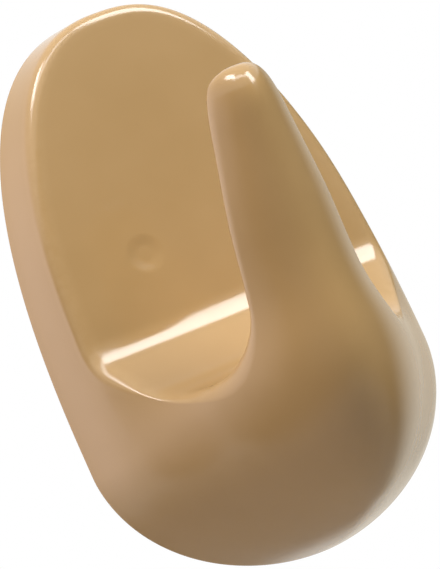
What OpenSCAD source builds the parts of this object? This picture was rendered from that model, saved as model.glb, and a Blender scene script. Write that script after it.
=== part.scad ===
// Adhesive wall hook: a moulded oval hook body on a double-sided foam pad,
// with a split release liner over the wall side of the pad.
// +Z is up, the wall is the plane y = 0 and the hook stands out towards -Y.

/* [Hook body] */
// Height of the body at the wall
body_h = 46; // [40:0.5:56]
// Width of the body at the wall
body_w = 30.4; // [26:0.2:36]
// Height above the bottom edge where the body is widest
widest_h = 12; // [10:0.1:14]
// Thickness of the flat upper plate
plate_t = 4.2; // [3.6:0.1:5.2]
// How far the plate's face stops short of the top edge
face_inset = 0.7; // [0.4:0.1:1.4]
// Rounding of the plate's edge
edge_r = 0.9; // [0.6:0.05:1.1]
// Rounding of the rim at the bottom of the throat
throat_edge_r = 2; // [1.4:0.1:2.4]
// Rounding of the prong's edges and tip
prong_edge_r = 1.3; // [1:0.1:1.6]

/* [Throat and prong] */
// Radius of the throat's bottom
throat_r = 5.5; // [5:0.05:6]
// Height of the throat's bottom above the body's bottom edge
throat_h = 14; // [12.8:0.1:15]
// Distance from the plate's face to the middle of the throat
throat_reach = 6.9; // [6.5:0.1:7.5]
// Slope of the throat's back, in degrees from upright
seat_slope = 35; // [30:1:40]
// Radius of the turn from the plate's face into the throat
seat_r = 4.5; // [3:0.1:6]
// Height of the prong's tip above the bottom edge
prong_h = 33.8; // [32:0.2:37]
// Lean of the prong's inner face away from the wall, in degrees
prong_lean = 14.5; // [11:0.5:17]
// Length of the prong's rounded end
prong_end = 4.4; // [3.6:0.1:6]
// Width that the prong's sides would spread to at the wall
prong_spread = 27.6; // [25:0.2:31]
// Depth of the chin in front of the body's back
chin_d = 21; // [20:0.1:22.5]
// Height above the bottom edge where the chin is full
chin_h = 15; // [13:0.1:17]
// Lean of the prong's front, in degrees
front_lean = 10.5; // [8.5:0.5:11.5]
// Length over which the chin turns into the prong's front
front_turn = 6; // [4:0.5:8]

/* [Moulded back] */
// Depth of the recess that the pad sits in
recess_d = 0.6; // [0.4:0.05:0.8]
// Width of the rim left round the recess
recess_rim = 1.8; // [1.4:0.1:2.4]
// Least wall left over the core slots
wall_t = 2; // [1.6:0.1:2.4]
// Width of one core slot
slot_w = 3.4; // [2.8:0.1:3.8]
// Thickness of the ribs between the core slots
rib_t = 1.4; // [1.2:0.1:2]

/* [Foam pad] */
// Clearance between the pad and the recess
pad_gap = 0.2; // [0.1:0.05:0.4]
// Thickness of the foam
foam_t = 1; // [0.8:0.1:1.6]
// Thickness of each film of adhesive
film_t = 0.1; // [0.05:0.01:0.15]
// Thickness of the paper liner
liner_t = 0.1; // [0.06:0.01:0.15]
// Slit between the two halves of the liner
liner_slit = 0.4; // [0.2:0.1:1]
// How far the slit lies above the middle of the pad
slit_rise = 5; // [2:0.5:9]

/* [Hidden] */

// Shape of the outline and of the sections, as powers and shares
top_power = 2.44;
bottom_power = 1.95;
chin_power = 2.3;
tip_power = 2.6;
nose_share = 0.35;
shoulder_share = 0.04;
seat_shoulder_share = 0.03;
inset_start_share = 0.52;
inset_end_share = 0.91;
shoulder_rise_share = 0.2;
tip_taper_share = 0.2;
tip_taper_start_share = 0.65;

// Steps of the body's surface
plate_steps = 20;
throat_steps = 20;
prong_steps = 7;
tip_steps = 9;
face_steps = 4;
round_steps = 3;
flank_steps = 22;
fine_steps = 80;
tip_crowding = 3;
pad_steps = 72;

// Places worked out from the sizes above
half_w = body_w / 2;
mid_z = body_h / 2;
stack_t = foam_t + 2 * film_t;
back_y = liner_t + stack_t - recess_d;
face_top = body_h - face_inset;
overrun = plate_t / 4;
foam_y = liner_t + film_t;
hook_film_y = foam_y + foam_t;

// Shape functions: d is the depth in front of the body's back, z the height above its bottom edge
function smooth(u) = let (v = min(max(u, 0), 1)) v * v * (3 - 2 * v);
function quarter(u, power) = pow(max(1 - pow(min(max(u, 0), 1), power), 0), 1 / power);
function outline_w(z) = half_w * (z > widest_h
    ? quarter((z - widest_h) / (body_h - widest_h), top_power)
    : quarter((widest_h - z) / widest_h, bottom_power));
// Height on the outline at a turn from 0 at the top to 180 at the bottom
function outline_z(turn) = turn < 90
    ? widest_h + (body_h - widest_h) * pow(cos(turn), 2 / top_power)
    : widest_h * (1 - pow(-cos(turn), 2 / bottom_power));
// Turn on the face's outline at a height
function face_turn(z) = acos(pow((z - widest_h) / (face_top - widest_h), top_power / 2));

throat_d = plate_t + throat_reach;
throat_z = throat_h + throat_r;
prong_foot_d = throat_d + throat_r * cos(prong_lean);
prong_foot_z = throat_z - throat_r * sin(prong_lean);
// The throat's back is a straight slope between the turn out of the face and the round bottom
slope_foot_d = throat_d - throat_r * cos(seat_slope);
slope_foot_z = throat_z - throat_r * sin(seat_slope);
slope_len = (slope_foot_d - plate_t - seat_r * (1 - cos(seat_slope))) / sin(seat_slope);
face_end_z = slope_foot_z + slope_len * cos(seat_slope) + seat_r * sin(seat_slope);
prong_round_z = prong_h - prong_end;
function prong_inner(z) = prong_foot_d + (z - prong_foot_z) * tan(prong_lean);
function front_rise(h) = tan(front_lean) * (h < front_turn ? h * h / (2 * front_turn) : h - front_turn / 2);
function front_plain(z) = chin_d * quarter((chin_h - z) / chin_h, chin_power) + front_rise(max(z - chin_h, 0));
function front_d(z) = let (inner = prong_inner(z))
    z < prong_round_z ? front_plain(z)
    : inner + (front_plain(z) - inner) * quarter((z - prong_round_z) / prong_end, tip_power);
plate_front_z = chin_h + front_turn / 3;
function prong_side(d) = smooth((d - plate_t) / throat_reach);
function depth_at(d, z) = let (m = prong_side(d))
    front_d(min(z, plate_front_z)) * (1 - m) + front_d(z) * m;
function width_at(d, z) = let (
        inset = face_inset * min(d / plate_t, 1)
            * smooth((z / body_h - inset_start_share) / (inset_end_share - inset_start_share)),
        wall = outline_w(z + inset),
        m = prong_side(d) * smooth((z - widest_h) / front_turn),
        rise = smooth((z - face_end_z) / (shoulder_rise_share * body_h)),
        shoulder = seat_shoulder_share + (shoulder_share - seat_shoulder_share) * rise,
        taper = smooth((z / prong_h - tip_taper_start_share) / (1 - tip_taper_start_share)),
        spread = prong_spread / 2 * (1 - tip_taper_share * taper))
    (wall + (spread - wall) * m)
        * (1 + shoulder * smooth(d / plate_t) * (1 - prong_side(d)));

// A section is a wedge with a round nose: the share of the width at a share of the depth, and back
nose_scale = sqrt(1 + nose_share * nose_share) - nose_share;
function width_share(f) = sqrt(max(pow(nose_share + max(f, 0) * nose_scale, 2) - nose_share * nose_share, 0));
function depth_share(t) = 1 - (sqrt(t * t + nose_share * nose_share) - nose_share) / nose_scale;

// The face, the throat and the prong's inner face are one bent strip, of length s from the face's top
throat_start = face_top - face_end_z;
seat_len = seat_r * seat_slope * PI / 180;
slope_start = throat_start + seat_len;
bottom_start = slope_start + slope_len;
prong_start = bottom_start + throat_r * (180 - prong_lean - seat_slope) * PI / 180;
throat_len = prong_start - throat_start;
strip_end = prong_start + (prong_h - prong_foot_z) / cos(prong_lean);
function strip_at(s) = s < throat_start ? [plate_t, face_top - s]
    : s < slope_start
    ? let (a = (s - throat_start) / seat_r * 180 / PI)
        [plate_t + seat_r * (1 - cos(a)), face_end_z - seat_r * sin(a)]
    : s < bottom_start
    ? let (k = bottom_start - s) [slope_foot_d - k * sin(seat_slope), slope_foot_z + k * cos(seat_slope)]
    : s < prong_start
    ? let (a = seat_slope + (s - bottom_start) / throat_r * 180 / PI)
        [throat_d - throat_r * cos(a), throat_z - throat_r * sin(a)]
    : let (z = prong_foot_z + (s - prong_start) * cos(prong_lean)) [prong_inner(z), z];
round_start = prong_start + (prong_round_z - prong_foot_z) / cos(prong_lean);
stations = concat(
    [for (i = [0 : plate_steps - 1]) throat_start * pow(i / plate_steps, 2)],
    [for (i = [0 : throat_steps - 1]) throat_start + throat_len * i / throat_steps],
    [for (i = [0 : prong_steps - 1]) prong_start + (round_start - prong_start) * i / prong_steps],
    [for (i = [0 : tip_steps]) strip_end - (strip_end - round_start) * pow(1 - i / tip_steps, tip_crowding)]);
last_station = len(stations) - 1;

// Lines of the outer surface run from the rim down lanes to the outline at the wall
lane_width_share = 0.66;
lane_power = 1.15;
lane_depth_share = 0.62;
lane_drop_share = 0.26;
lane_settle_share = 0.065;
lane_throat_share = 0.5;
lane_prong_share = 0.75;
blend_share = 0.3;
turn_at_throat = 88;
turn_power = 0.8;
lane_drop = body_h * lane_drop_share;
lane_settle = body_h * lane_settle_share;
function rim_share(s) = max((s - throat_start) / (strip_end - throat_start), 0);
// Place of a line among the lanes: 0 at the throat's start, 1 at the prong's tip
function lane(s) = s <= throat_start ? 0
    : s < prong_start ? lane_throat_share * (s - throat_start) / throat_len
    : s < round_start
    ? lane_throat_share + (lane_prong_share - lane_throat_share) * (s - prong_start) / (round_start - prong_start)
    : 1 - (1 - lane_prong_share) * pow(max(strip_end - s, 0) / (strip_end - round_start), 1 / tip_crowding);
function back_turn(s) = let (v = lane(s))
    v > 0 ? turn_at_throat + (180 - turn_at_throat) * pow(v, turn_power)
    : face_turn(strip_at(s)[1]) * turn_at_throat / face_turn(face_end_z);
function flank(s, lam) = let (
        p = strip_at(s), d = p[0], z = p[1], v = lane(s),
        front = depth_at(d, z),
        f = max(1 - d / max(front, overrun), 0),
        t_rim = s == strip_end ? 0 : width_share(f),
        z_back = s == strip_end ? 0 : outline_z(back_turn(s)),
        t_line = width_share(f + (1 - f) * lam),
        z_line = z + (z_back - z) * lam,
        lane_t = lane_width_share * pow(1 - v, lane_power),
        lane_z = z_back + min(sqrt(1 - v) * lane_depth_share * min(max(z - z_back, 0), lane_drop), 2 * z_back),
        lane_part = blend_share * 2 + (1 - blend_share * 2) * smooth((v - (1 - blend_share)) / blend_share),
        a = min(lam / lane_part, 1),
        turn = lane_part < 1 ? 90 * max((lam - lane_part) / (1 - lane_part), 0) : 0,
        z_down = z + (lane_z - z) * (1 - pow(1 - a, 2)),
        t_down = lane_t + (t_rim - lane_t) * exp((z_down - z) / lane_settle),
        t_turn = t_down + (1 - t_down) * (1 - cos(turn)),
        z_turn = z_back + (z_down - z_back) * (1 - sin(turn)),
        m = smooth(v / blend_share),
        t = t_line * (1 - m) + t_turn * m,
        zz = z_line * (1 - m) + z_turn * m,
        reach = v > blend_share ? throat_d : plate_t,
        front_here = depth_at(reach, zz) + (front - depth_at(reach, z)) * pow(1 - lam, 2),
        dd = front_here * depth_share(t),
        pole = s == 0 || s == strip_end)
    [pole ? 0 : width_at(dd, zz) * t, dd, zz];

// One station's points: from the middle of the strip over the rounded rim to the middle of the back
spine_top_share = 0.15;
spine_tip_share = 0.056;
spine_slip_share = 0.1;
back_spine_share = 0.8;
rim_peak_share = 0.36;
rim_spread_share = 0.14;
reach_share = 0.45;
crowd_share = 0.65;
spine_top = body_h * spine_top_share;
spine_tip = body_h * spine_tip_share;
function spine_s(s) = s < spine_top ? spine_top + (s - spine_top) * spine_slip_share
    : let (s_low = strip_end - spine_tip) s > s_low ? s_low + (s - s_low) * spine_slip_share : s;
function rim_r(s) = s < throat_start ? edge_r
    : edge_r + (prong_edge_r - edge_r) * smooth(rim_share(s) / rim_peak_share)
        + (throat_edge_r - prong_edge_r) * exp(-pow((rim_share(s) - rim_peak_share) / rim_spread_share, 2));
function on_strip(s, x, mu) = let (q = strip_at(s + (spine_s(s) - s) * (1 - mu))) [x * mu, q[0], q[1]];
// Steps that crowd together at both ends of a line
function crowd(w) = w - crowd_share * sin(360 * w) / (2 * PI);
// Running length along a line of points
function lengths(line) = [for (i = 0, t = 0; i < len(line);
    t = t + norm(line[min(i + 1, len(line) - 1)] - line[i]), i = i + 1) t];
function column(keys, line, c) = [for (i = [0 : len(line) - 1]) [keys[i], line[i][c]]];
function station_line(s) = let (
        fine = [for (i = [0 : fine_steps]) flank(s, i / fine_steps)],
        keys = lengths(fine),
        xs = column(keys, fine, 0),
        ds = column(keys, fine, 1),
        zs = column(keys, fine, 2),
        all_len = keys[fine_steps],
        rim = fine[0],
        face_len = norm([rim[0], spine_s(s) - s]),
        mu = 1 - min(rim_r(s), reach_share * face_len) / face_len,
        down = min(rim_r(s), reach_share * all_len),
        a = on_strip(s, rim[0], mu),
        b = [lookup(down, xs), lookup(down, ds), lookup(down, zs)])
    concat(
        [for (i = [0 : face_steps - 1]) on_strip(s, rim[0], mu * i / face_steps)],
        [for (i = [0 : round_steps]) let (w = i / round_steps)
            a * pow(1 - w, 2) + rim * 2 * w * (1 - w) + b * w * w],
        [for (i = [1 : flank_steps - 1]) let (k = down + (all_len - down) * crowd(i / flank_steps))
            [lookup(k, xs), lookup(k, ds), lookup(k, zs)]],
        [fine[fine_steps]],
        [[0, 0, mid_z + (fine[fine_steps][2] - mid_z) * back_spine_share]]);

// To the shared frame, with the wall at y = 0 and the middle of the body at the origin
function placed(p, side) = [side * p[0], -back_y - p[1], p[2] - mid_z];

module body_blank() {
    lines = [for (s = stations) station_line(s)];
    n = len(lines[0]);
    right = [for (line = lines, p = line) placed(p, 1)];
    left = [for (line = lines, p = line) placed(p, -1)];
    // The two halves share the points that lie in the middle
    function index(j, k, side) = let (shared = j == 0 || j == last_station || k == 0 || k == n - 1)
        j * n + k + (side < 0 && !shared ? len(right) : 0);
    quads = [for (j = [0 : last_station - 1], k = [0 : n - 2], side = [1, -1])
        let (q = [index(j, k, side), index(j + 1, k, side), index(j + 1, k + 1, side), index(j, k + 1, side)])
        side < 0 ? q : [q[3], q[2], q[1], q[0]]];
    faces = [for (q = quads, f = [[q[0], q[1], q[2]], [q[0], q[2], q[3]]]) f];
    polyhedron(points = concat(right, left), faces = faces, convexity = 6);
}

// The outline at the wall, drawn in by a margin, with x to the right and z up
function outline_points(margin) = [for (i = [0 : pad_steps - 1])
    let (turn = 360 * i / pad_steps,
        z = outline_z(turn < 180 ? turn : 360 - turn),
        x = outline_w(z) * (half_w - margin) / half_w)
    [turn < 180 ? x : -x, (z - mid_z) * (mid_z - margin) / mid_z]];

module sheet(margin, thickness, y_wall) {
    translate([0, -y_wall, 0])
        rotate([90, 0, 0])
            linear_extrude(thickness)
                polygon(outline_points(margin));
}

// A slot between two ribs, cut from the back: profile points are [depth, height above the bottom edge]
slot_floor = plate_t - wall_t;
slot_ends_share = 0.17;
slot_low_share = 0.11;
deep_roof_z = throat_h - wall_t;
deep_floor_z = chin_h - chin_d / 2;
deep_reach = throat_d;
side_reach_share = 0.7;
side_reach = throat_d * side_reach_share;
function shallow_slot() = [[-overrun, body_h * slot_ends_share], [slot_floor, body_h * slot_ends_share],
    [slot_floor, body_h * (1 - 2 * slot_ends_share)], [-overrun, body_h * (1 - 2 * slot_ends_share)]];
function deep_slot(reach) = [[-overrun, body_h * slot_low_share], [throat_d / 2, deep_floor_z],
    [reach, (deep_floor_z + deep_roof_z) / 2], [reach, deep_roof_z],
    [throat_d / 2, deep_roof_z + throat_r / 5], [slot_floor, face_end_z - seat_r],
    [slot_floor, body_h * (1 - slot_ends_share)], [-overrun, body_h * (1 - slot_ends_share)]];

module core_slot(x, profile) {
    translate([x - slot_w / 2, -back_y, -mid_z])
        rotate([90, 0, 90])
            linear_extrude(slot_w)
                polygon([for (p = profile) [-p[0], p[1]]]);
}

module hook_body() {
    pitch = slot_w + rib_t;
    // The surface's steps pass by its widest point, so the last bit of width is made up here
    color("#b8945f")
        resize([body_w, 0, 0])
            difference() {
                body_blank();
                sheet(recess_rim, recess_d + overrun, back_y - overrun);
                for (i = [-1 : 1])
                    core_slot(i * pitch, deep_slot(i == 0 ? deep_reach : side_reach));
                for (i = [-2, 2])
                    core_slot(i * pitch, shallow_slot());
            }
}

pad_margin = recess_rim + pad_gap;

module hook_side_adhesive() {
    color("#d9d2bd") sheet(pad_margin, film_t, hook_film_y);
}

module foam_core() {
    color("#f1efe8") sheet(pad_margin, foam_t, foam_y);
}

module wall_side_adhesive() {
    color("#d9d2bd") sheet(pad_margin, film_t, liner_t);
}

// Half of the liner, above (1) or below (-1) the slit
module liner_half(side) {
    intersection() {
        sheet(pad_margin, liner_t, 0);
        translate([-half_w, -liner_t - overrun, slit_rise + (side > 0 ? liner_slit / 2 : -body_h - liner_slit / 2)])
            cube([body_w, liner_t + 2 * overrun, body_h]);
    }
}

module release_liner_upper() {
    color("#eef0ea") liner_half(1);
}

module release_liner_lower() {
    color("#eef0ea") liner_half(-1);
}

hook_body();
hook_side_adhesive();
foam_core();
wall_side_adhesive();
release_liner_upper();
release_liner_lower();
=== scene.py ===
import math

import bpy
import numpy as np
from mathutils import Matrix, Vector


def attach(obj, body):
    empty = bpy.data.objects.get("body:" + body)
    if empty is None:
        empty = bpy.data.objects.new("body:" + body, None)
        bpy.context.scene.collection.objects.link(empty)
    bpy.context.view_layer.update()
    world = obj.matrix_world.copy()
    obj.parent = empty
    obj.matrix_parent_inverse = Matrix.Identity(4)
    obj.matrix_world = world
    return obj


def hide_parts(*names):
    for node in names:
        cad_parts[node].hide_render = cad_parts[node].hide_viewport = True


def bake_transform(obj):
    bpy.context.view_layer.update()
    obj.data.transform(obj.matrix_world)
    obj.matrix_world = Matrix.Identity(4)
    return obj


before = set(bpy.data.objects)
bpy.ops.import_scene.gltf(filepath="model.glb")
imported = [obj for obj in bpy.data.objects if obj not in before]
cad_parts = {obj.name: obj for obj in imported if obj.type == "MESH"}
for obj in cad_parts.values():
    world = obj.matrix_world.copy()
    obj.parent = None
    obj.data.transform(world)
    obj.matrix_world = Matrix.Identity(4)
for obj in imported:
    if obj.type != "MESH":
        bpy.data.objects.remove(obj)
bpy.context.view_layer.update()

MM = 0.001

# Sizes of the hook in millimetres, the same as the CAD's. In the shape functions x is sideways,
# d the depth in front of the body's back, and z the height above its bottom edge.
BODY_H, BODY_W, WIDEST_H = 46.0, 30.4, 12.0
PLATE_T, FACE_INSET = 4.2, 0.7
EDGE_R, THROAT_EDGE_R, PRONG_EDGE_R = 0.9, 2.0, 1.3
THROAT_R, THROAT_H, THROAT_REACH = 5.5, 14.0, 6.9
SEAT_SLOPE, SEAT_R = math.radians(35), 4.5
PRONG_H, PRONG_LEAN, PRONG_END, PRONG_SPREAD = 33.8, math.radians(14.5), 4.4, 27.6
CHIN_D, CHIN_H, FRONT_LEAN, FRONT_TURN = 21.0, 15.0, math.radians(10.5), 6.0
RECESS_D, RECESS_RIM, RECESS_ROUND, WALL_EDGE_R = 0.6, 1.8, 0.12, 0.25
PAD_GAP, FOAM_T, FILM_T, LINER_T = 0.2, 1.0, 0.1, 0.1
LINER_SLIT, SLIT_RISE, LINER_BEND = 0.4, 5.0, 2.5

# Powers of the superellipses, and shares of the sizes above
TOP_POWER, BOTTOM_POWER, CHIN_POWER, TIP_POWER = 2.44, 1.95, 2.3, 2.6
INSET_START, INSET_END = 0.52, 0.91
SHOULDER, SEAT_SHOULDER, SHOULDER_RISE = 0.04, 0.03, 0.2
TIP_TAPER, TIP_TAPER_START = 0.2, 0.65
NOSE = 0.35
RIM_PEAK, RIM_SPREAD, RIM_REACH = 0.36, 0.14, 0.45
SPINE_TOP, SPINE_TIP, SPINE_SLIP, BACK_SPINE = 0.15 * BODY_H, 0.056 * BODY_H, 0.1, 0.8

# Lanes that the lines of the outer surface run down, from 0 at the throat's start to 1 at the
# prong's tip
LANE_AT_PRONG, LANE_AT_ROUND, LANE_BLEND = 0.5, 0.75, 0.3
LANE_TURN, LANE_TURN_POWER = 88, 0.8
LANE_WIDTH, LANE_POWER = 0.66, 1.15
LANE_DEPTH, LANE_DROP, LANE_SETTLE = 0.62, 0.26 * BODY_H, 0.065 * BODY_H

# Rows along the strip, samples and columns down the flank, steps round the corners, and shares of
# the way across the face, the rim at the wall and the recess's floor
PLATE_ROWS, THROAT_ROWS, PRONG_ROWS, TIP_ROWS = 61, 70, 26, 60
PLATE_CROWDING, TIP_CROWDING, FLANK_CROWDING = 2, 3, 0.55
FLANK_SAMPLES, FLANK_COLUMNS = 320, 72
RIM_STEPS, WALL_EDGE_STEPS, RECESS_STEPS = 10, 6, 3
FACE_COLUMNS = np.array([0, 0.2, 0.4, 0.6, 0.75, 0.86, 0.93, 0.97, 1])
BACK_RIM_COLUMNS, FLOOR_COLUMNS = [0.2, 0.8, 1], [0.05, 0.3, 0.6, 1]

# Small enough only to keep a division from being by nothing
TINY = 1e-6

# Places worked out from the sizes
HALF_W, MID_Z = BODY_W / 2, BODY_H / 2
PAD_MARGIN = RECESS_RIM + PAD_GAP
BACK_Y = LINER_T + FOAM_T + 2 * FILM_T - RECESS_D
FACE_TOP = BODY_H - FACE_INSET
PLATE_FRONT_Z = CHIN_H + FRONT_TURN / 3
THROAT_D, THROAT_Z = PLATE_T + THROAT_REACH, THROAT_H + THROAT_R
PRONG_FOOT_D = THROAT_D + THROAT_R * math.cos(PRONG_LEAN)
PRONG_FOOT_Z = THROAT_Z - THROAT_R * math.sin(PRONG_LEAN)
PRONG_ROUND_Z = PRONG_H - PRONG_END
SLOPE_FOOT_D = THROAT_D - THROAT_R * math.cos(SEAT_SLOPE)
SLOPE_FOOT_Z = THROAT_Z - THROAT_R * math.sin(SEAT_SLOPE)
SLOPE_LEN = (SLOPE_FOOT_D - PLATE_T - SEAT_R * (1 - math.cos(SEAT_SLOPE))) / math.sin(SEAT_SLOPE)
FACE_END_Z = SLOPE_FOOT_Z + SLOPE_LEN * math.cos(SEAT_SLOPE) + SEAT_R * math.sin(SEAT_SLOPE)
NOSE_SCALE = math.sqrt(1 + NOSE * NOSE) - NOSE

# Lengths along the bent strip that is the face, the throat and the prong's inner face
THROAT_START = FACE_TOP - FACE_END_Z
SLOPE_START = THROAT_START + SEAT_R * SEAT_SLOPE
BOTTOM_START = SLOPE_START + SLOPE_LEN
PRONG_START = BOTTOM_START + THROAT_R * (math.pi - PRONG_LEAN - SEAT_SLOPE)
ROUND_START = PRONG_START + (PRONG_ROUND_Z - PRONG_FOOT_Z) / math.cos(PRONG_LEAN)
STRIP_END = PRONG_START + (PRONG_H - PRONG_FOOT_Z) / math.cos(PRONG_LEAN)


def smooth(u):
    """Runs from 0 to 1 with a level start and end: 3 u squared less 2 u cubed."""
    v = np.clip(u, 0, 1)
    return v * v * (3 - 2 * v)


def quarter(u, power):
    """A quarter of a superellipse: the root, of that power, of one less u to that power."""
    return np.maximum(1 - np.clip(u, 0, 1) ** power, 0) ** (1 / power)


def outline_w(z):
    """Half width of the body at the wall: one superellipse above the widest height and another
    below it."""
    return HALF_W * np.where(z > WIDEST_H, quarter((z - WIDEST_H) / (BODY_H - WIDEST_H), TOP_POWER),
                             quarter((WIDEST_H - z) / WIDEST_H, BOTTOM_POWER))


def outline_z(turn):
    """Height on that outline at a turn, in degrees, from 0 at the top to 180 at the bottom."""
    c = np.abs(np.cos(np.radians(turn)))
    return np.where(turn < 90, WIDEST_H + (BODY_H - WIDEST_H) * c ** (2 / TOP_POWER),
                    WIDEST_H * (1 - c ** (2 / BOTTOM_POWER)))


def face_turn(z):
    """Turn, in degrees, at which the face's outline has a height: outline_z the other way round."""
    c = np.clip((z - WIDEST_H) / (FACE_TOP - WIDEST_H), 0, 1) ** (TOP_POWER / 2)
    return np.degrees(np.arccos(c))


def prong_inner(z):
    """Depth of the prong's inner face: a straight line that leans out from the throat."""
    return PRONG_FOOT_D + (z - PRONG_FOOT_Z) * math.tan(PRONG_LEAN)


def front_d(z):
    """Depth of the chin and the prong's front: a superellipse up to the chin's full height, then a
    line that bends into the prong's lean along a parabola, and a superellipse that closes it on the
    inner face at the tip."""
    h = np.maximum(z - CHIN_H, 0)
    rise = math.tan(FRONT_LEAN) * np.where(h < FRONT_TURN, h * h / (2 * FRONT_TURN), h - FRONT_TURN / 2)
    plain = CHIN_D * quarter((CHIN_H - z) / CHIN_H, CHIN_POWER) + rise
    inner = prong_inner(z)
    closing = inner + (plain - inner) * quarter((z - PRONG_ROUND_Z) / PRONG_END, TIP_POWER)
    return np.where(z < PRONG_ROUND_Z, plain, closing)


def prong_side(d):
    """Share of the prong in a section: 0 at the plate's face, 1 from the middle of the throat
    outwards."""
    return smooth((d - PLATE_T) / THROAT_REACH)


def depth_at(d, z):
    """Depth to which a section's wedge runs: the chin's on the plate side, the front's on the prong
    side."""
    m = prong_side(d)
    return front_d(np.minimum(z, PLATE_FRONT_Z)) * (1 - m) + front_d(z) * m


def width_at(d, z):
    """Half width of a section at the wall: the outline, drawn in towards the face at the top,
    passing into the prong's own spread, and swelled a little at the plate's shoulder."""
    inset = smooth((z / BODY_H - INSET_START) / (INSET_END - INSET_START))
    wall = outline_w(z + FACE_INSET * np.minimum(d / PLATE_T, 1) * inset)
    m = prong_side(d) * smooth((z - WIDEST_H) / FRONT_TURN)
    rise = smooth((z - FACE_END_Z) / (SHOULDER_RISE * BODY_H))
    shoulder = SEAT_SHOULDER + (SHOULDER - SEAT_SHOULDER) * rise
    taper = smooth((z / PRONG_H - TIP_TAPER_START) / (1 - TIP_TAPER_START))
    spread = PRONG_SPREAD / 2 * (1 - TIP_TAPER * taper)
    return (wall + (spread - wall) * m) * (1 + shoulder * smooth(d / PLATE_T) * (1 - prong_side(d)))


def width_share(f):
    """Share of a wedge's width at a share f of its depth from the nose: a hyperbola, so the nose is
    round."""
    return np.sqrt(np.maximum((NOSE + np.maximum(f, 0) * NOSE_SCALE) ** 2 - NOSE * NOSE, 0))


def depth_share(t):
    """The same hyperbola the other way round: share of the depth at a share t of the width."""
    return 1 - (np.sqrt(t * t + NOSE * NOSE) - NOSE) / NOSE_SCALE


def strip_at(s):
    """Depth and height on the bent strip at a length s from the face's top: the upright face, the
    turn into the throat, the throat's straight back, its round bottom, and the prong's inner
    face."""
    a = (s - THROAT_START) / SEAT_R
    k = BOTTOM_START - s
    b = SEAT_SLOPE + (s - BOTTOM_START) / THROAT_R
    z_prong = PRONG_FOOT_Z + (s - PRONG_START) * math.cos(PRONG_LEAN)
    runs = [s < THROAT_START, s < SLOPE_START, s < BOTTOM_START, s < PRONG_START]
    d = np.select(runs, [np.full_like(s, PLATE_T), PLATE_T + SEAT_R * (1 - np.cos(a)),
                         SLOPE_FOOT_D - k * math.sin(SEAT_SLOPE), THROAT_D - THROAT_R * np.cos(b)],
                  prong_inner(z_prong))
    z = np.select(runs, [FACE_TOP - s, FACE_END_Z - SEAT_R * np.sin(a),
                         SLOPE_FOOT_Z + k * math.cos(SEAT_SLOPE), THROAT_Z - THROAT_R * np.sin(b)],
                  z_prong)
    return d, z


def flank(s, lane, fall):
    """The outer surface: lines that start on the rim at length s and run to the outline at the wall
    as fall goes from 0 to 1. Beside the plate a line is straight in height. Below the throat it
    runs down a lane whose width share settles to a fixed one, and then makes a quarter turn out to
    the wall. Each point is put on the wedge section."""
    d, z = strip_at(s)
    tip = s >= STRIP_END
    front = depth_at(d, z)
    f = np.clip(1 - d / front, 0, 1)
    t_rim = np.where(tip, 0, width_share(f))
    plate_turn = face_turn(z) * LANE_TURN / face_turn(np.array(FACE_END_Z))
    lane_turn = LANE_TURN + (180 - LANE_TURN) * lane ** LANE_TURN_POWER
    z_back = np.where(tip, 0, outline_z(np.where(lane > 0, lane_turn, plate_turn)))
    t_line = width_share(f + (1 - f) * fall)
    z_line = z + (z_back - z) * fall
    lane_t = LANE_WIDTH * (1 - lane) ** LANE_POWER
    drop = np.clip(z - z_back, 0, LANE_DROP)
    lane_z = z_back + np.minimum(np.sqrt(1 - lane) * LANE_DEPTH * drop, 2 * z_back)
    part = 2 * LANE_BLEND + (1 - 2 * LANE_BLEND) * smooth((lane - (1 - LANE_BLEND)) / LANE_BLEND)
    down = 1 - (1 - np.minimum(fall / part, 1)) ** 2
    turn = math.pi / 2 * np.clip((fall - part) / np.maximum(1 - part, TINY), 0, 1)
    z_down = z + (lane_z - z) * down
    t_down = lane_t + (t_rim - lane_t) * np.exp((z_down - z) / LANE_SETTLE)
    t_turn = t_down + (1 - t_down) * (1 - np.cos(turn))
    z_turn = z_back + (z_down - z_back) * (1 - np.sin(turn))
    m = smooth(lane / LANE_BLEND)
    t = t_line * (1 - m) + t_turn * m
    zz = z_line * (1 - m) + z_turn * m
    reach = np.where(lane > LANE_BLEND, THROAT_D, PLATE_T)
    dd = (depth_at(reach, zz) + (front - depth_at(reach, z)) * (1 - fall) ** 2) * depth_share(t)
    x = np.where(tip | (s <= 0), 0, width_at(dd, zz) * t)
    return np.stack(np.broadcast_arrays(x, dd, zz), -1)


def running_length(lines):
    """Length along each line of points, from 0 at its first point."""
    steps = np.linalg.norm(np.diff(lines, axis=1), axis=2)
    return np.concatenate([np.zeros((len(lines), 1)), np.cumsum(steps, axis=1)], axis=1)


def at_length(lines, length, wanted):
    """Points at the wanted lengths along lines: the lines are laid end to end on one axis and read
    there at once."""
    lift = np.arange(len(lines))[:, None] * (length.max() + 1)
    keys, places = (length + lift).ravel(), (wanted + lift).ravel()
    read = [np.interp(places, keys, lines[..., c].ravel()) for c in range(3)]
    return np.stack(read, -1).reshape(wanted.shape + (3,))


def rolled(a, corner, b, steps):
    """A rounded corner: the parabola that leaves a towards the corner and comes to b from it."""
    w = np.linspace(0, 1, steps + 1)[None, :, None]
    return a[:, None] * (1 - w) ** 2 + corner[:, None] * 2 * w * (1 - w) + b[:, None] * w * w


def drawn_in(edge, margin, d):
    """The outline at the wall, drawn in by a margin and set at a depth d."""
    x = edge[:, 0] * (1 - margin / HALF_W)
    z = MID_Z + (edge[:, 2] - MID_Z) * (1 - margin / MID_Z)
    return np.stack([x, np.full_like(x, d), z], -1)


def spread_between(a, b, shares):
    """Points at given shares of the way between two rows of points."""
    w = np.asarray(shares)[None, :, None]
    return a[:, None] * (1 - w) + b[:, None] * w


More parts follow.
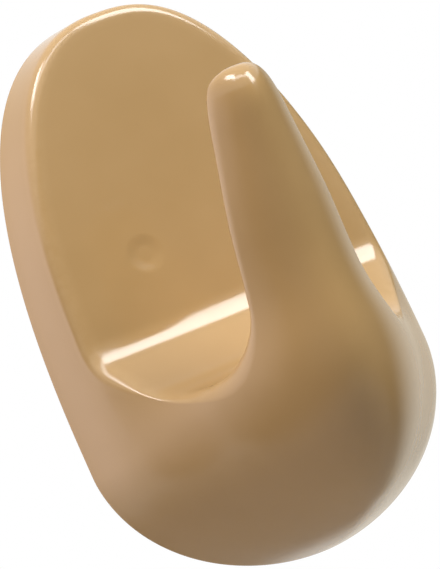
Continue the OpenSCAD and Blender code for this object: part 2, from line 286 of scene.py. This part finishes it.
def strip_rows():
    """Lengths along the bent strip at which the body's rows start, close together at the face's top
    and at the prong's tip, and the lane of each."""
    plate = THROAT_START * np.linspace(0, 1, PLATE_ROWS, endpoint=False) ** PLATE_CROWDING
    throat = np.linspace(THROAT_START, PRONG_START, THROAT_ROWS, endpoint=False)
    prong = np.linspace(PRONG_START, ROUND_START, PRONG_ROWS, endpoint=False)
    tip = STRIP_END - (STRIP_END - ROUND_START) * np.linspace(1, 0, TIP_ROWS + 1) ** TIP_CROWDING
    s = np.concatenate([plate, throat, prong, tip])
    in_throat = (s - THROAT_START) / (PRONG_START - THROAT_START)
    on_prong = (s - PRONG_START) / (ROUND_START - PRONG_START)
    to_tip = (np.clip(STRIP_END - s, 0, None) / (STRIP_END - ROUND_START)) ** (1 / TIP_CROWDING)
    lane = np.select([s <= THROAT_START, s < PRONG_START, s < ROUND_START],
                     [np.zeros_like(s), LANE_AT_PRONG * in_throat,
                      LANE_AT_PRONG + (LANE_AT_ROUND - LANE_AT_PRONG) * on_prong],
                     1 - (1 - LANE_AT_ROUND) * to_tip)
    return s, lane


def rim_radius(s):
    """Radius of the rounded rim: the plate's passes smoothly into the prong's, with a bell curve on
    top where the throat's rim is roundest."""
    share = np.maximum((s - THROAT_START) / (STRIP_END - THROAT_START), 0)
    bell = np.exp(-((share - RIM_PEAK) / RIM_SPREAD) ** 2) * (share > 0)
    plain = EDGE_R + (PRONG_EDGE_R - EDGE_R) * smooth(share / RIM_PEAK)
    return plain + (THROAT_EDGE_R - PRONG_EDGE_R) * bell


def hook_half():
    """The right half of the moulded body as a grid. One parameter runs along the bent strip, the
    other from the middle of the strip over the rounded rim, down the flank, round the edge at the
    wall, into the recess for the pad and to the middle of its floor. It also gives each point's
    distance from the rim, along its row."""
    s, lane = strip_rows()
    rim_r = rim_radius(s)
    fine = flank(s[:, None], lane[:, None], np.linspace(0, 1, FLANK_SAMPLES + 1)[None, :])
    length = running_length(fine)
    full = length[:, -1]
    rim, edge = fine[:, 0], fine[:, -1]
    low = STRIP_END - SPINE_TIP
    spine = np.select([s < SPINE_TOP, s > low],
                      [SPINE_TOP + (s - SPINE_TOP) * SPINE_SLIP, low + (s - low) * SPINE_SLIP], s)
    face_len = np.hypot(rim[:, 0], spine - s)
    face_end = 1 - np.minimum(rim_r, RIM_REACH * face_len) / face_len
    out = face_end[:, None] * FACE_COLUMNS[None, :]
    d, z = strip_at(s[:, None] + (spine - s)[:, None] * (1 - out))
    inside = np.stack([rim[:, :1] * out, d, z], -1)
    start = np.minimum(rim_r, RIM_REACH * full)
    w = np.linspace(0, 1, FLANK_COLUMNS + 1)
    w = w - FLANK_CROWDING * np.sin(2 * np.pi * w) / (2 * np.pi)
    down = start[:, None] + (full - WALL_EDGE_R - start)[:, None] * w[None, :]
    outside = at_length(fine, length, down)
    over_rim = rolled(inside[:, -1], rim, outside[:, 0], RIM_STEPS)
    at_wall = rolled(outside[:, -1], edge, drawn_in(edge, WALL_EDGE_R, 0), WALL_EDGE_STEPS)
    back_rim = spread_between(at_wall[:, -1], drawn_in(edge, RECESS_RIM - RECESS_ROUND, 0),
                              BACK_RIM_COLUMNS)
    into_recess = rolled(back_rim[:, -1], drawn_in(edge, RECESS_RIM, 0),
                         drawn_in(edge, RECESS_RIM, RECESS_ROUND), RECESS_STEPS)
    recess_foot = rolled(drawn_in(edge, RECESS_RIM, RECESS_D - RECESS_ROUND),
                         drawn_in(edge, RECESS_RIM, RECESS_D),
                         drawn_in(edge, RECESS_RIM + RECESS_ROUND, RECESS_D), RECESS_STEPS)
    middle = np.stack([0 * s, 0 * s + RECESS_D, MID_Z + (edge[:, 2] - MID_Z) * BACK_SPINE], -1)
    floor = spread_between(recess_foot[:, -1], middle, FLOOR_COLUMNS)
    grid = np.concatenate([inside, over_rim[:, 1:], outside[:, 1:], at_wall[:, 1:], back_rim,
                           into_recess[:, 1:], recess_foot, floor], axis=1)
    run = running_length(grid)
    rim_column = len(FACE_COLUMNS) - 1 + RIM_STEPS // 2
    return grid, np.abs(run - run[:, rim_column:rim_column + 1])


def in_frame(points):
    """From x, d and z in millimetres to the shared frame in metres."""
    return np.stack([points[..., 0], -BACK_Y - points[..., 1], points[..., 2] - MID_Z], -1) * MM


def sheet_of_quads(rows, columns):
    """Corner numbers of the quads of a grid with that many rows and columns of points."""
    k = np.arange(rows * columns).reshape(rows, columns)
    return np.stack([k[:-1, :-1], k[1:, :-1], k[1:, 1:], k[:-1, 1:]], -1).reshape(-1, 4)


def put_piece(name, points, faces, finish, sharp=60):
    """A mesh object at the origin, smooth but for edges that turn by more than the sharp angle in
    degrees."""
    mesh = bpy.data.meshes.new(name)
    mesh.from_pydata(points.tolist(), [], faces)
    mesh.polygons.foreach_set("use_smooth", np.ones(len(faces), bool))
    mesh.set_sharp_from_angle(angle=math.radians(sharp))
    mesh.materials.append(finish)
    mesh.update()
    piece = bpy.data.objects.new(name, mesh)
    bpy.context.scene.collection.objects.link(piece)
    return piece


def mark_points(piece, name, values):
    """Keeps one number for each point, for the finish to read."""
    kept = piece.data.attributes.new(name, "FLOAT", "POINT")
    kept.data.foreach_set("value", values.astype(np.float32))


def make_hook_shell(finish):
    """Both halves of the moulded body. They share the points that lie in the middle, so the shell
    has no seam."""
    grid, from_rim = hook_half()
    rows, columns = grid.shape[:2]
    count = rows * columns
    right = np.arange(count).reshape(rows, columns)
    left = right + count
    left[0], left[-1], left[:, 0], left[:, -1] = right[0], right[-1], right[:, 0], right[:, -1]
    quads = sheet_of_quads(rows, columns)
    corners = np.concatenate([right.ravel()[quads], left.ravel()[quads][:, ::-1]])
    used, corners = np.unique(corners, return_inverse=True)
    points = np.concatenate([grid.reshape(-1, 3), grid.reshape(-1, 3) * [-1, 1, 1]])[used]
    faces = corners.reshape(-1, 4).tolist()
    piece = put_piece("hook_shell", in_frame(points), faces, finish)
    mark_points(piece, "from_rim", np.concatenate([from_rim.ravel(), from_rim.ravel()])[used])
    return piece


def pad_outline(turns, margin):
    """The pad's cut edge, in x and row height: the outline at the wall drawn in by a margin."""
    z = outline_z(np.where(turns < 180, turns, 360 - turns))
    x = outline_w(z) * (1 - margin / HALF_W) * np.where(turns < 180, 1, -1)
    return x, (z - MID_Z) * (1 - margin / MID_Z)


def make_foam_pad(finish):
    """The foam as a profile carried round the pad's outline. The knife leaves its side a little
    hollow near the films and swelled between them, and opens small cells in it: a sum of slanting
    waves, from coarse to fine."""
    around, across = 900, 13
    waves, coarsest, finest, slant = 40, 90, 330, 3
    swell, hollow, cell_depth = 0.09, 0.02, 0.14
    turns = np.linspace(0, 360, around, endpoint=False)[:, None]
    v = np.linspace(0, 1, across)[None, :]
    rng = np.random.default_rng(seed=7)
    counts = rng.integers(coarsest, finest, waves)
    starts = rng.random(waves)
    slants = rng.uniform(-slant, slant, waves)
    cells = sum(np.sin(np.radians(n * turns) + 2 * np.pi * (p + q * v))
                for n, p, q in zip(counts, starts, slants)) / waves
    bow = np.sin(np.pi * v)
    x, z = pad_outline(turns, PAD_MARGIN - (swell * bow - hollow) + cell_depth * cells * bow)
    y = -(LINER_T + FILM_T + FOAM_T * v) + 0 * x
    points = np.stack([x, y, z], -1).reshape(-1, 3) * MM
    k = np.arange(around * across).reshape(around, across)
    k = np.concatenate([k, k[:1]])
    quads = np.stack([k[:-1, :-1], k[:-1, 1:], k[1:, 1:], k[1:, :-1]], -1).reshape(-1, 4)
    caps = [k[:-1, 0].tolist(), k[:-1, -1][::-1].tolist()]
    return put_piece("foam_pad", points, quads.tolist() + caps, finish)


def make_liner(name, finish, side):
    """Half of the release paper: a grid across and along the pad's outline, from the slit to the
    outer end, on its two faces, joined round the cut edge. Rows lie close together near the outer
    end, where it bends when peeled. The outermost row stays a hair short of the outline's end, so
    that it has a width."""
    rows, columns, outline_samples = 90, 41, 20000
    crowding, end_gap = 1.8, 0.0006
    slit = SLIT_RISE + side * LINER_SLIT / 2
    outline_x, outline_h = pad_outline(np.linspace(0, 180, outline_samples + 1), PAD_MARGIN)
    tip = outline_h.max() if side > 0 else outline_h.min()
    z = tip + (slit - tip) * (end_gap + (1 - end_gap) * np.linspace(0, 1, rows) ** crowding)
    half = np.interp(z, outline_h[::-1], outline_x[::-1])
    x = half[:, None] * np.linspace(-1, 1, columns)[None, :] * side
    grids = [np.stack(np.broadcast_arrays(x, y, z[:, None]), -1) for y in (-LINER_T, 0.0)]
    points = np.concatenate([g.reshape(-1, 3) for g in grids]) * MM
    count = x.size
    quads = sheet_of_quads(rows, columns)
    k = np.arange(count).reshape(rows, columns)
    loop = np.concatenate([k[0, :-1], k[:-1, -1], k[-1, :0:-1], k[:0:-1, 0]])
    after = np.roll(loop, -1)
    edge = np.stack([loop, after, after + count, loop + count], -1)
    faces = np.concatenate([quads, quads[:, ::-1] + count, edge])
    return put_piece(name, points, faces.tolist(), finish, sharp=40)


def ink(code):
    """An sRGB hex colour as linear red, green, blue and alpha."""
    c = np.array([int(code[i:i + 2], 16) / 255 for i in (1, 3, 5)])
    return (*np.where(c <= 0.04045, c / 12.92, ((c + 0.055) / 1.055) ** 2.4), 1.0)


def add(tree, kind, inputs=None, **settings):
    """Adds a node, sets its properties, and sets or links its inputs, each by name or number."""
    made = tree.nodes.new(kind)
    for key, value in settings.items():
        setattr(made, key, value)
    for key, value in (inputs or {}).items():
        if isinstance(value, bpy.types.NodeSocket):
            tree.links.new(value, made.inputs[key])
        else:
            made.inputs[key].default_value = value
    return made


def new_finish(name, roughness, ior):
    """A material with only a Principled shader, whose constant sockets are set straight on it."""
    material = bpy.data.materials.new(name)
    material.use_nodes = True
    shader = material.node_tree.nodes["Principled BSDF"]
    shader.inputs["Roughness"].default_value = roughness
    shader.inputs["IOR"].default_value = ior
    return material, material.node_tree, shader


def per_metre(size_mm):
    """Scale of a noise whose features are about this many millimetres across."""
    return 1 / (size_mm * MM)


def moulded_abs():
    """ABS, injection moulded in a polished steel tool: a hard gloss over an even tan, with faint
    clouds where the melt flowed, a slight ripple of the tool's polish, a rim rubbed paler by
    handling, and a soft round sink over the rib behind the face."""
    material, tree, shader = new_finish("moulded_abs_tan_polished", 0.14, 1.54)
    place = add(tree, "ShaderNodeTexCoord").outputs["Object"]
    clouds = add(tree, "ShaderNodeTexNoise",
                 {"Vector": place, "Scale": per_metre(11), "Detail": 3.0, "Roughness": 0.55})
    tint = add(tree, "ShaderNodeValToRGB", {"Fac": clouds.outputs["Fac"]})
    dark, light = tint.color_ramp.elements
    dark.position, light.position = 0.3, 0.7
    dark.color, light.color = ink("#B59462"), ink("#BB9A69")
    from_rim_mm = add(tree, "ShaderNodeAttribute", attribute_name="from_rim").outputs["Fac"]
    worn = add(tree, "ShaderNodeMapRange",
               {"Value": from_rim_mm, "From Min": 0.1, "From Max": 1.4, "To Min": 1.0, "To Max": 0.0})
    specks = add(tree, "ShaderNodeTexNoise",
                 {"Vector": place, "Scale": per_metre(0.8), "Detail": 4.0, "Roughness": 0.6})
    wear = add(tree, "ShaderNodeMath", {0: worn.outputs["Result"], 1: specks.outputs["Fac"]},
               operation="MULTIPLY")
    pale = add(tree, "ShaderNodeMix", {"Factor": wear.outputs["Value"], 6: tint.outputs["Color"],
                                       7: ink("#C2A273")}, data_type="RGBA")
    tree.links.new(pale.outputs[2], shader.inputs["Base Color"])
    gloss = add(tree, "ShaderNodeMapRange",
                {"Value": specks.outputs["Fac"], "From Min": 0.3, "From Max": 0.7,
                 "To Min": 0.11, "To Max": 0.16})
    rubbed_by = 0.05
    rubbed = add(tree, "ShaderNodeMath",
                 {0: wear.outputs["Value"], 1: rubbed_by, 2: gloss.outputs["Result"]},
                 operation="MULTIPLY_ADD")
    tree.links.new(rubbed.outputs["Value"], shader.inputs["Roughness"])
    ripple = add(tree, "ShaderNodeTexNoise", {"Vector": place, "Scale": per_metre(2.6), "Detail": 2.0})
    sink_middle = in_frame(np.array([-5.2, PLATE_T, 26.1]))
    off = add(tree, "ShaderNodeVectorMath", {0: place, 1: tuple(sink_middle)}, operation="DISTANCE")
    sink = add(tree, "ShaderNodeMapRange", {"Value": off.outputs["Value"], "From Min": 0.5 * MM,
                                            "From Max": 1.7 * MM, "To Min": 0.0, "To Max": 1.0},
               interpolation_type="SMOOTHSTEP")
    ripple_share = 0.047
    height = add(tree, "ShaderNodeMath",
                 {0: ripple.outputs["Fac"], 1: ripple_share, 2: sink.outputs["Result"]},
                 operation="MULTIPLY_ADD")
    bump = add(tree, "ShaderNodeBump",
               {"Height": height.outputs["Value"], "Strength": 0.35, "Distance": 0.3 * MM})
    tree.links.new(bump.outputs["Normal"], shader.inputs["Normal"])
    return material


def closed_cell_foam():
    """Polyethylene foam, blown in closed cells and cut with a knife: matt and whitish, its cut side
    a fine honeycomb. The cells are drawn 0.3 mm wide, about twice their size, so that they show."""
    material, tree, shader = new_finish("closed_cell_pe_foam_cut", 0.85, 1.5)
    place = add(tree, "ShaderNodeTexCoord").outputs["Object"]
    cells = add(tree, "ShaderNodeTexVoronoi", {"Vector": place, "Scale": per_metre(0.3)})
    tint = add(tree, "ShaderNodeValToRGB", {"Fac": cells.outputs["Distance"]})
    dark, light = tint.color_ramp.elements
    dark.color, light.color = ink("#D5D1C6"), ink("#F2F0EA")
    tree.links.new(tint.outputs["Color"], shader.inputs["Base Color"])
    bump = add(tree, "ShaderNodeBump",
               {"Height": cells.outputs["Distance"], "Strength": 0.8, "Distance": 0.1 * MM})
    tree.links.new(bump.outputs["Normal"], shader.inputs["Normal"])
    return material


def acrylic_adhesive():
    """Acrylic adhesive, coated wet on a film and dried: a milky honey colour with a wet shine, and
    shallow dimples where the paper's surface was pressed into it."""
    material, tree, shader = new_finish("acrylic_adhesive_coated", 0.25, 1.47)
    place = add(tree, "ShaderNodeTexCoord").outputs["Object"]
    dimples = add(tree, "ShaderNodeTexNoise", {"Vector": place, "Scale": per_metre(0.7), "Detail": 3.0})
    tint = add(tree, "ShaderNodeValToRGB", {"Fac": dimples.outputs["Fac"]})
    dark, light = tint.color_ramp.elements
    dark.position, light.position = 0.35, 0.65
    dark.color, light.color = ink("#CFC4A2"), ink("#E0D8BD")
    tree.links.new(tint.outputs["Color"], shader.inputs["Base Color"])
    shine = add(tree, "ShaderNodeMapRange",
                {"Value": dimples.outputs["Fac"], "From Min": 0.3, "From Max": 0.7,
                 "To Min": 0.2, "To Max": 0.38})
    tree.links.new(shine.outputs["Result"], shader.inputs["Roughness"])
    bump = add(tree, "ShaderNodeBump",
               {"Height": dimples.outputs["Fac"], "Strength": 0.4, "Distance": 0.05 * MM})
    tree.links.new(bump.outputs["Normal"], shader.inputs["Normal"])
    return material


def glassine_paper():
    """Glassine release paper, calendered smooth and coated with silicone: off-white with a silky
    sheen, cloudy where its fibres lie thicker, with fine fibres along the roll. Fibres are drawn
    0.15 mm thick so that they show."""
    material, tree, shader = new_finish("glassine_release_paper", 0.4, 1.5)
    place = add(tree, "ShaderNodeTexCoord").outputs["Object"]
    clouds = add(tree, "ShaderNodeTexNoise",
                 {"Vector": place, "Scale": per_metre(2.5), "Detail": 4.0, "Roughness": 0.6})
    along_roll = add(tree, "ShaderNodeMapping", {"Vector": place, "Scale": (1.0, 1.0, 0.12)})
    fibres = add(tree, "ShaderNodeTexNoise",
                 {"Vector": along_roll.outputs["Vector"], "Scale": per_metre(0.15), "Detail": 2.0})
    fibre_share = 0.35
    both = add(tree, "ShaderNodeMath",
               {0: fibres.outputs["Fac"], 1: fibre_share, 2: clouds.outputs["Fac"]},
               operation="MULTIPLY_ADD")
    tint = add(tree, "ShaderNodeValToRGB", {"Fac": both.outputs["Value"]})
    dark, light = tint.color_ramp.elements
    dark.position, light.position = 0.45, 0.95
    dark.color, light.color = ink("#D9D5C2"), ink("#EFEDE2")
    tree.links.new(tint.outputs["Color"], shader.inputs["Base Color"])
    sheen = add(tree, "ShaderNodeMapRange",
                {"Value": clouds.outputs["Fac"], "From Min": 0.3, "From Max": 0.7,
                 "To Min": 0.34, "To Max": 0.48})
    tree.links.new(sheen.outputs["Result"], shader.inputs["Roughness"])
    bump = add(tree, "ShaderNodeBump",
               {"Height": fibres.outputs["Fac"], "Strength": 0.25, "Distance": 0.02 * MM})
    tree.links.new(bump.outputs["Normal"], shader.inputs["Normal"])
    return material


def matt_floor_paint():
    """Floor board, rolled with matt white paint: pale and even, with the roller's faint stipple. It
    thins out to clear at its edges, so it runs into the white surroundings without a line."""
    material, tree, shader = new_finish("matt_white_floor_paint", 0.8, 1.45)
    place = add(tree, "ShaderNodeTexCoord").outputs["Object"]
    stipple = add(tree, "ShaderNodeTexNoise", {"Vector": place, "Scale": per_metre(4), "Detail": 2.0})
    tint = add(tree, "ShaderNodeValToRGB", {"Fac": stipple.outputs["Fac"]})
    dark, light = tint.color_ramp.elements
    dark.color, light.color = ink("#E4E2DE"), ink("#ECEAE7")
    cover = add(tree, "ShaderNodeAttribute", attribute_name="cover")
    tree.links.new(tint.outputs["Color"], shader.inputs["Base Color"])
    tree.links.new(cover.outputs["Fac"], shader.inputs["Alpha"])
    return material


def painted_shade_card():
    """Card coloured dark as painted shade: a plain dim surface in front that stands in for the shade
    there, so the gloss mirrors it dark instead of going milky."""
    material, tree, shader = new_finish("dark_card_painted_shade", 0.9, 1.45)
    place = add(tree, "ShaderNodeTexCoord").outputs["Object"]
    fleck = add(tree, "ShaderNodeTexNoise", {"Vector": place, "Scale": per_metre(6), "Detail": 2.0})
    tint = add(tree, "ShaderNodeValToRGB", {"Fac": fleck.outputs["Fac"]})
    dark, light = tint.color_ramp.elements
    # Painted shade: this dark colour stands for the shade in front of the hook, which the gloss mirrors
    dark.color, light.color = ink("#4A4643"), ink("#555150")
    tree.links.new(tint.outputs["Color"], shader.inputs["Base Color"])
    return material


def photo_camera():
    """The camera of the photo's fit: 24 degrees to the hook's left, 8 below it and tilted by 25. It
    aims a little to the left of the point that it turns round, and below it."""
    pivot = Vector((0, -8.7, 0)) * MM
    distance, aim_left, aim_down = 220 * MM, 1.227 * MM, 2.428 * MM
    az, el, tilt = math.radians(24), math.radians(-8), math.radians(25.06)
    towards = Vector((-math.sin(az) * math.cos(el), -math.cos(az) * math.cos(el), math.sin(el)))
    level = Vector((math.cos(az), -math.sin(az), 0))
    upright = level.cross(-towards)
    right = level * math.cos(tilt) - upright * math.sin(tilt)
    up = level * math.sin(tilt) + upright * math.cos(tilt)
    eye = pivot + towards * distance
    back = (eye - (pivot - right * aim_left - up * aim_down)).normalized()
    side = up.cross(back).normalized()
    data = bpy.data.cameras.new("photo_camera")
    data.lens = 183.7
    data.clip_start = 0.01
    camera = bpy.data.objects.new("photo_camera", data)
    camera.matrix_world = Matrix((side, back.cross(side), back)).transposed().to_4x4()
    camera.location = eye
    bpy.context.scene.collection.objects.link(camera)
    return camera


# Point in the throat that the lamps face
LAMP_AIM = np.array([0, -12, -5]) * MM


def lamp_way(round_to, height_angle):
    """Direction from the hook to a lamp, at so many degrees round to the right and up as seen from
    the front."""
    a, e = math.radians(round_to), math.radians(height_angle)
    return np.array([math.sin(a) * math.cos(e), -math.cos(a) * math.cos(e), math.sin(e)])


def softbox(name, round_to, height_angle, distance, width, height, strength, colour="#FFFFFF"):
    """A rectangular soft lamp that faces the hook, at the angles of lamp_way and at a distance in
    metres from its throat. Strength is how bright its face looks, where 1 is white."""
    lamp = bpy.data.lights.new(name, "AREA")
    lamp.shape = "RECTANGLE"
    lamp.size, lamp.size_y = width, height
    lamp.energy = strength * math.pi * width * height
    lamp.color = ink(colour)[:3]
    way = lamp_way(round_to, height_angle)
    holder = bpy.data.objects.new(name, lamp)
    holder.location = LAMP_AIM + way * distance
    holder.rotation_euler = Vector(way).to_track_quat("Z", "Y").to_euler()
    bpy.context.scene.collection.objects.link(holder)
    return holder


def lit_cloth(strength, colour):
    """Thin white cloth, stretched over a lamp: bright in the middle and fading away to its edges,
    so its mirror image is soft."""
    material = bpy.data.materials.new("white_cloth_lit_from_behind")
    material.use_nodes = True
    tree = material.node_tree
    tree.nodes.clear()
    glow = add(tree, "ShaderNodeAttribute", attribute_name="glow")
    light = add(tree, "ShaderNodeEmission", {"Color": ink(colour), "Strength": strength})
    clear = add(tree, "ShaderNodeBsdfTransparent")
    both = add(tree, "ShaderNodeMixShader",
               {0: glow.outputs["Fac"], 1: clear.outputs["BSDF"], 2: light.outputs["Emission"]})
    add(tree, "ShaderNodeOutputMaterial", {"Surface": both.outputs["Shader"]})
    return material


def unseen_stage(piece):
    """Makes a piece part of the studio that the gloss mirrors, but that the camera doesn't see."""
    piece.visible_camera = piece.visible_shadow = piece.visible_transmission = False


def glow_panel(name, round_to, height_angle, distance, width, height, strength, colour="#FFFFFF"):
    """A lit cloth that faces the hook, placed as a softbox is. Its glow falls off as a cosine
    squared to its edges."""
    points_a_side = 25
    a, way = math.radians(round_to), lamp_way(round_to, height_angle)
    across = np.array([math.cos(a), math.sin(a), 0])
    upward = np.cross(way, across)
    w = np.linspace(-1, 1, points_a_side)
    u, v = np.meshgrid(w, w, indexing="ij")
    points = (LAMP_AIM + way * distance + u[..., None] * across * width / 2
              + v[..., None] * upward * height / 2).reshape(-1, 3)
    quads = sheet_of_quads(points_a_side, points_a_side).tolist()
    cloth = put_piece(name, points, quads, lit_cloth(strength, colour))
    mark_points(cloth, "glow", ((np.cos(u * math.pi / 2) * np.cos(v * math.pi / 2)) ** 2).ravel())
    unseen_stage(cloth)


def white_surroundings():
    """A world that is white where it is seen or mirrored, and an even dimmer light on the
    object."""
    world = bpy.data.worlds.new("white_studio")
    bpy.context.scene.world = world
    world.use_nodes = True
    tree = world.node_tree
    tree.nodes.clear()
    path = add(tree, "ShaderNodeLightPath").outputs
    seen = add(tree, "ShaderNodeMath", {0: path["Is Camera Ray"], 1: path["Is Glossy Ray"]},
               operation="MAXIMUM")
    seen = add(tree, "ShaderNodeMath", {0: seen.outputs["Value"], 1: path["Is Transmission Ray"]},
               operation="MAXIMUM")
    dim = add(tree, "ShaderNodeBackground", {"Color": ink("#FFFFFF"), "Strength": 0.16})
    white = add(tree, "ShaderNodeBackground", {"Color": ink("#FFFFFF"), "Strength": 1.0})
    both = add(tree, "ShaderNodeMixShader", {0: seen.outputs["Value"], 1: dim.outputs["Background"],
                                             2: white.outputs["Background"]})
    add(tree, "ShaderNodeOutputWorld", {"Surface": both.outputs["Shader"]})


def stand_dark_card():
    """A card bent round the front of the hook as part of an upright cylinder, in metres."""
    radius, bottom, top = 0.9, -0.8, 0.4
    left_end, right_end = -95, 145
    columns, rows = 38, 9
    turn, rise = np.meshgrid(np.radians(np.linspace(left_end, right_end, columns)),
                             np.linspace(bottom, top, rows), indexing="ij")
    points = np.stack([radius * np.sin(turn), -radius * np.cos(turn), rise], -1).reshape(-1, 3)
    unseen_stage(put_piece("dark_card", points, sheet_of_quads(columns, rows).tolist(), painted_shade_card()))


def lay_floor():
    """A level square below the hook, in metres, whose paint covers fully near the middle and fades
    away before its edges."""
    half_side, level, clear_from, fade = 1.2, -0.42, 1.1, 0.7
    points_a_side = 41
    u = np.linspace(-half_side, half_side, points_a_side)
    x, y = np.meshgrid(u, u, indexing="ij")
    points = np.stack([x, y, np.full_like(x, level)], -1).reshape(-1, 3)
    quads = sheet_of_quads(points_a_side, points_a_side).tolist()
    floor = put_piece("studio_floor", points, quads, matt_floor_paint())
    mark_points(floor, "cover", smooth((clear_from - np.hypot(x, y)) / fade).ravel())


def studio():
    """White surroundings, soft lamps and lit cloths, a dark card in front and a pale floor."""
    white_surroundings()
    # Degrees round to the right and up, then distance, width and height in metres, and strength
    softbox("key_softbox", 38, 40, 0.5, 0.2, 0.25, 12.0)
    softbox("front_softbox", -18, 54, 0.5, 0.42, 0.09, 6.0)
    softbox("left_softbox", -58, 60, 0.55, 0.16, 0.16, 17.0, "#FFF3F0")
    softbox("fill_softbox", -45, 12, 0.6, 0.4, 0.4, 0.7, "#FFF3F0").visible_glossy = False
    glow_panel("key_halo", 32, 32, 0.56, 0.6, 0.6, 0.9)
    glow_panel("left_panel", -116, 14, 0.6, 1.2, 1.0, 2.3, "#FFF0F0")
    glow_panel("right_panel", 140, -4, 0.5, 0.9, 0.9, 0.8, "#FFF6E4")
    stand_dark_card()
    lay_floor()


bpy.context.scene.camera = photo_camera()
bpy.context.scene.view_settings.view_transform = "Standard"

abs_tan, foam_cut = moulded_abs(), closed_cell_foam()
adhesive, paper = acrylic_adhesive(), glassine_paper()

hook_shell = make_hook_shell(abs_tan)
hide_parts("hook_body")
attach(hook_shell, "hook")

foam_pad = make_foam_pad(foam_cut)
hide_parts("foam_core")
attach(foam_pad, "hook")

for half, way in (("upper", 1), ("lower", -1)):
    liner = make_liner("liner_" + half + "_paper", paper, way)
    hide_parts("release_liner_" + half)
    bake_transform(liner)

for film in ("hook_side_adhesive", "wall_side_adhesive"):
    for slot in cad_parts[film].material_slots:
        slot.material = adhesive

studio()
